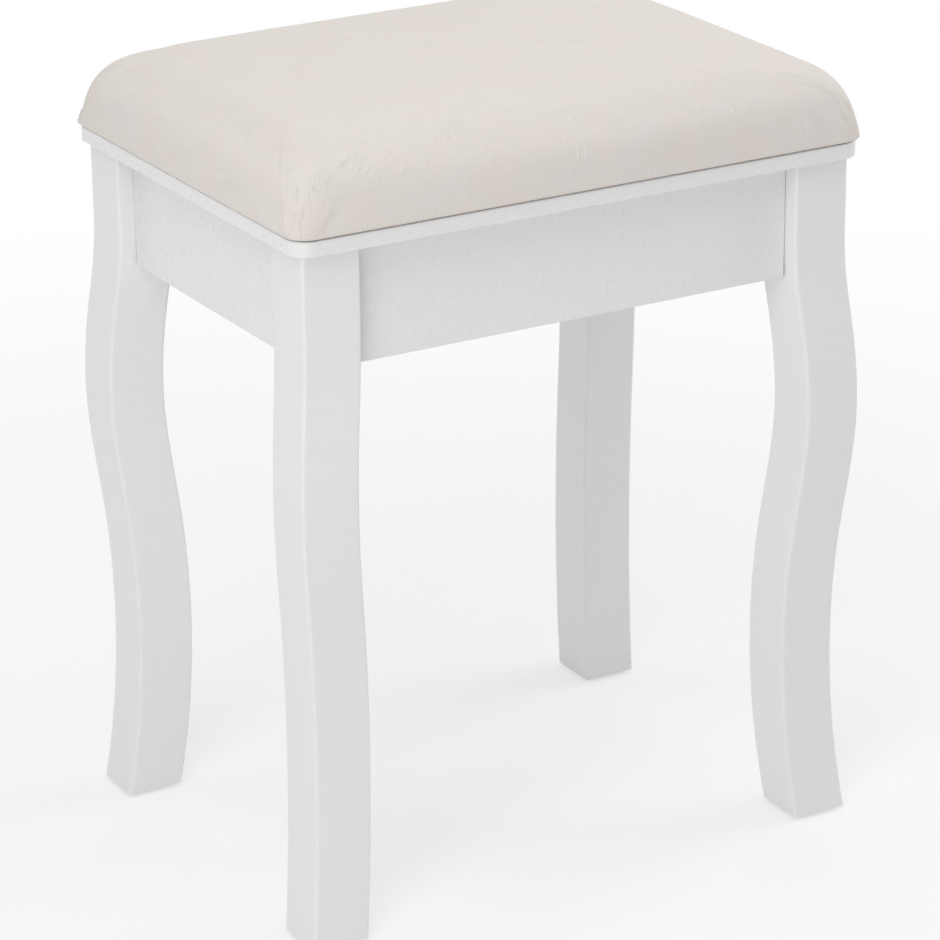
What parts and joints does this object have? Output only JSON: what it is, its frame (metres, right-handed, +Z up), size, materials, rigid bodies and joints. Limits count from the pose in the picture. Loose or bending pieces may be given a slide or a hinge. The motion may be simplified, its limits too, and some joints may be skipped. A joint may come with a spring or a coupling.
{
  "type": "vanity stool",
  "caption": "Rectangular stool with S-curved square legs, plain aprons, a thin seat board and a crowned, cloth-covered pad.",
  "frame": {"origin": "on the floor, under the middle of the seat", "axes": "+Z up; +X along the seat's long side; +Y to the back"},
  "size_m": [0.3648, 0.2748, 0.465],
  "materials": {
    "white_lacquered_wood": "satin white lacquer on solid wood",
    "white_lacquered_board": "satin white lacquer on fibreboard",
    "bare_pine": "planed, unfinished",
    "plywood": "unfinished",
    "ivory_cloth": "smooth woven cloth with fine raised slubs",
    "foam": "open-cell foam",
    "zinc_plated_steel": "zinc plated",
    "nylon": "moulded"
  },
  "bodies": {
    "root": {"leg_front_left": "white_lacquered_wood", "leg_front_right": "white_lacquered_wood", "leg_back_left": "white_lacquered_wood", "leg_back_right": "white_lacquered_wood", "apron_front": "white_lacquered_board", "apron_back": "white_lacquered_board", "apron_left": "white_lacquered_board", "apron_right": "white_lacquered_board", "seat_board": "white_lacquered_board", "corner_block_front_left": "bare_pine", "corner_block_front_right": "bare_pine", "corner_block_back_left": "bare_pine", "corner_block_back_right": "bare_pine", "foot_glide_front_left": "nylon", "foot_glide_front_right": "nylon", "foot_glide_back_left": "nylon", "foot_glide_back_right": "nylon", "pad_cover": "ivory_cloth", "pad_foam": "foam", "pad_board": "plywood", "hem_staples": "zinc_plated_steel", "pad_screws": "zinc_plated_steel", "seat_screws": "zinc_plated_steel", "block_screws": "zinc_plated_steel", "leg_bolts": "zinc_plated_steel", "flat_washers": "zinc_plated_steel", "spring_washers": "zinc_plated_steel", "leg_inserts": "zinc_plated_steel"}
  },
  "joints": []
}
